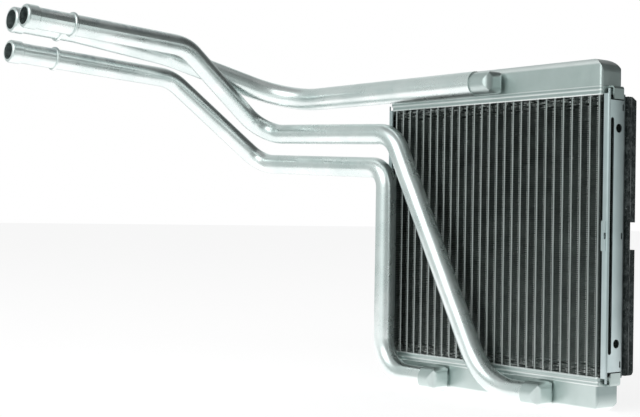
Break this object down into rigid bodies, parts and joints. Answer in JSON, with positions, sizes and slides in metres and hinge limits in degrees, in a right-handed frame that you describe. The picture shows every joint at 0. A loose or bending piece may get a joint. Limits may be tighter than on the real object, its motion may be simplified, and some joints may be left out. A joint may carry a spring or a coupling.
{
  "type": "heater core",
  "caption": "Flat-tube heater core with pressed end tanks, folded fins, notched side plates, foam strips and bent feed and return pipes with beaded hose spigots.",
  "frame": {"origin": "middle of the finned block", "axes": "+Z along the tubes towards the return tank, +X along the block away from the pipes' far bends, -Y towards the face that the pipes run past"},
  "size_m": [0.4051, 0.2953, 0.2865],
  "materials": {
    "tube_metal": "dull brazed",
    "fin_metal": "dull brazed",
    "header_metal": "dull brazed",
    "tank_metal": "satin pressed",
    "pipe_metal": "drawn, semi-bright",
    "plate_metal": "satin pressed",
    "seal_foam": "open-celled foam"
  },
  "bodies": {
    "root": {"tube_01": "tube_metal", "tube_02": "tube_metal", "tube_03": "tube_metal", "tube_04": "tube_metal", "tube_05": "tube_metal", "tube_06": "tube_metal", "tube_07": "tube_metal", "tube_08": "tube_metal", "tube_09": "tube_metal", "tube_10": "tube_metal", "tube_11": "tube_metal", "tube_12": "tube_metal", "tube_13": "tube_metal", "tube_14": "tube_metal", "tube_15": "tube_metal", "tube_16": "tube_metal", "tube_17": "tube_metal", "tube_18": "tube_metal", "tube_19": "tube_metal", "tube_20": "tube_metal", "tube_21": "tube_metal", "tube_22": "tube_metal", "tube_23": "tube_metal", "tube_24": "tube_metal", "tube_25": "tube_metal", "tube_26": "tube_metal", "tube_27": "tube_metal", "folded_fins": "fin_metal", "upper_header": "header_metal", "lower_header": "header_metal", "upper_tank": "tank_metal", "lower_tank": "tank_metal", "lower_tank_baffle": "tank_metal", "left_feed_pipe": "pipe_metal", "right_feed_pipe": "pipe_metal", "return_pipe": "pipe_metal", "right_side_plate": "plate_metal", "left_side_plate": "plate_metal", "right_air_seal": "seal_foam", "left_air_seal": "seal_foam"}
  },
  "joints": []
}
